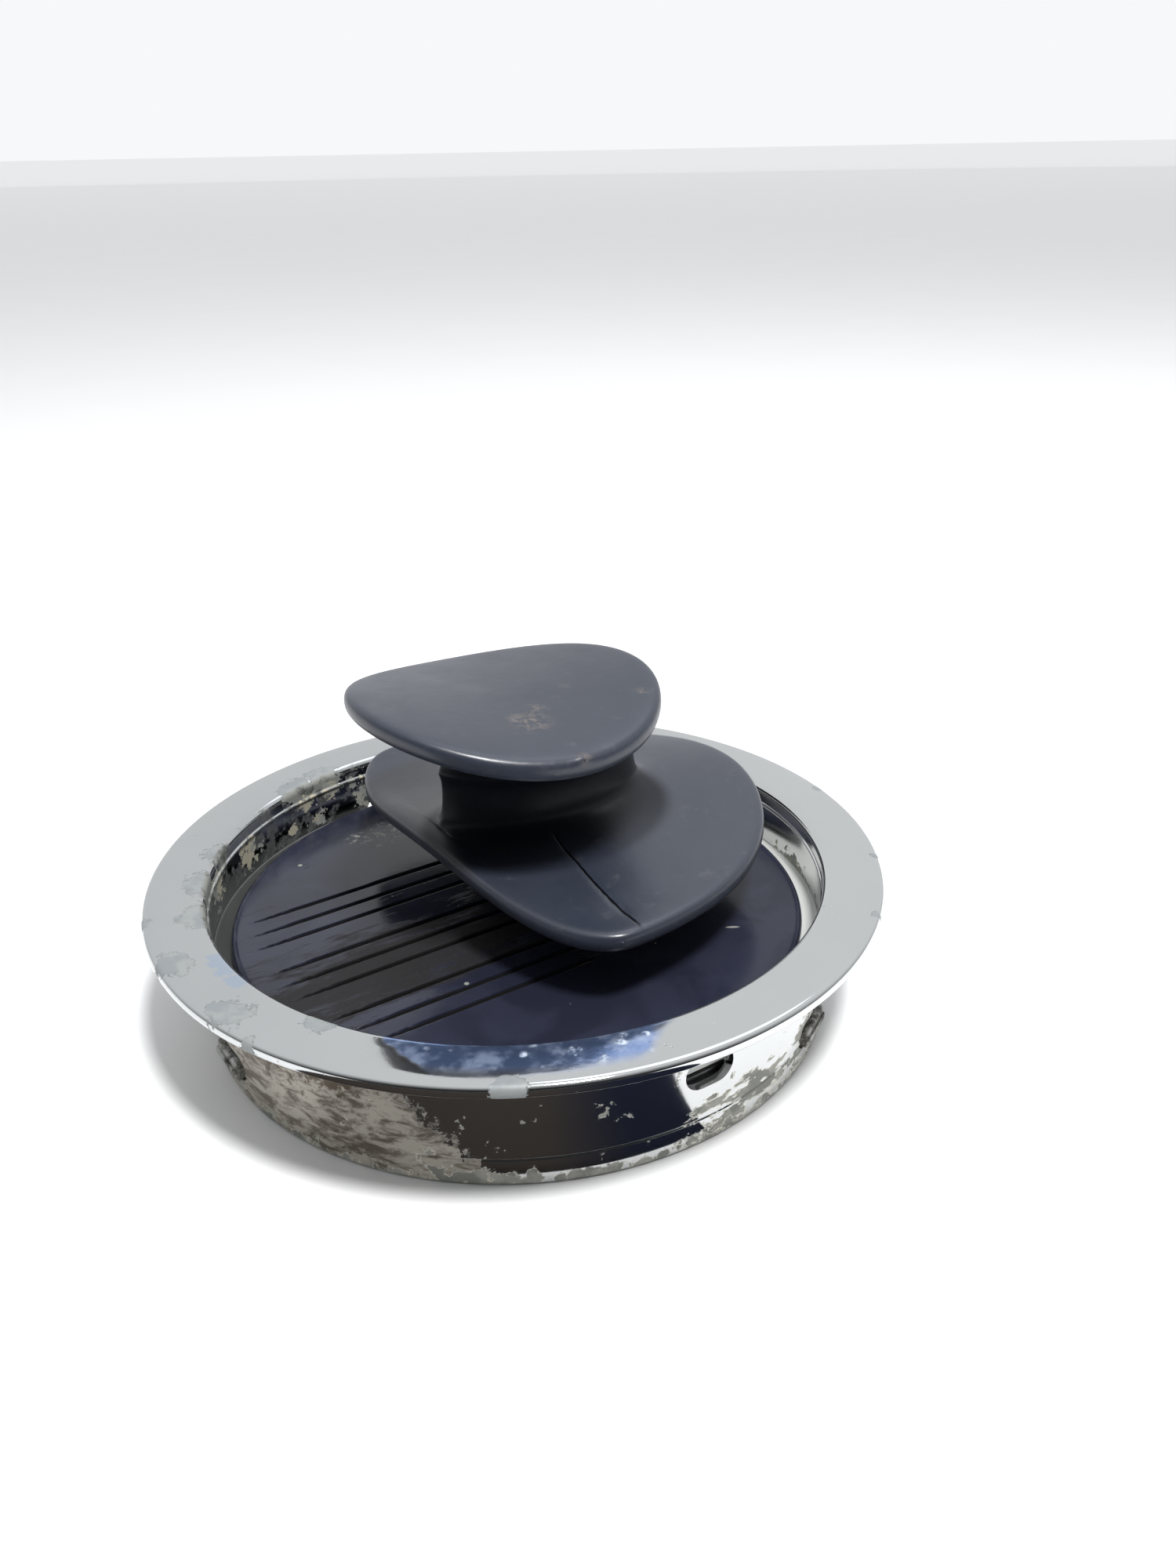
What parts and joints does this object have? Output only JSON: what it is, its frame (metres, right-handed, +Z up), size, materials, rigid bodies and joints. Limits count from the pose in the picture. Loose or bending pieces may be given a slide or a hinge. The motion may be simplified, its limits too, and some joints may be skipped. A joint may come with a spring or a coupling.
{
  "type": "floor drain grate",
  "caption": "round chrome floor drain ring with a hidden strainer grate, closed by a dark lift-and-turn cover disc with a saddle-shaped finger grip",
  "frame": {"origin": "on the drain's axis, at the bottom edge of the skirt", "axes": "+Z up along the drain's axis, out of the floor; +X to the right and +Y to the back, seen from the side with the weep hole on the right of the front"},
  "size_m": [0.115, 0.115, 0.0539],
  "materials": {
    "chromed_brass": "worn polished",
    "black_plastic": "matte",
    "spring_steel": "satin",
    "steel": "satin",
    "strainer_steel": "satin",
    "black_rubber": "matte",
    "brass": "satin",
    "white_plastic": "satin",
    "disc_enamel": "gloss",
    "grip_plastic": "satin"
  },
  "bodies": {
    "drain": {"trim_ring": "chromed_brass", "clip_hoop": "black_plastic", "hub_spider": "black_plastic", "snap_clip_back": "spring_steel", "snap_clip_left": "spring_steel", "snap_clip_right": "spring_steel", "clip_rivets": "steel", "strainer_grate": "strainer_steel", "strainer_screws": "steel", "lift_o_ring": "black_rubber"},
    "lift_collar": {"lift_collar": "brass", "thrust_washer": "white_plastic"},
    "plug": {"stem": "brass", "stem_o_ring": "black_rubber", "stem_washer": "brass", "stem_circlip": "spring_steel", "cover_disc": "disc_enamel", "disc_seal": "black_rubber", "grip_screws": "steel", "grip_washers": "steel", "grip": "grip_plastic"}
  },
  "joints": [
    {"name": "cover_lift", "type": "slide", "parent": "drain", "child": "lift_collar", "axis": [0, 0, 1], "range_m": [0, 0.005]},
    {"name": "cover_turn", "type": "hinge", "parent": "lift_collar", "child": "plug", "pos_m": [0, 0, 0], "axis": [0, 0, 1], "continuous": true}
  ]
}
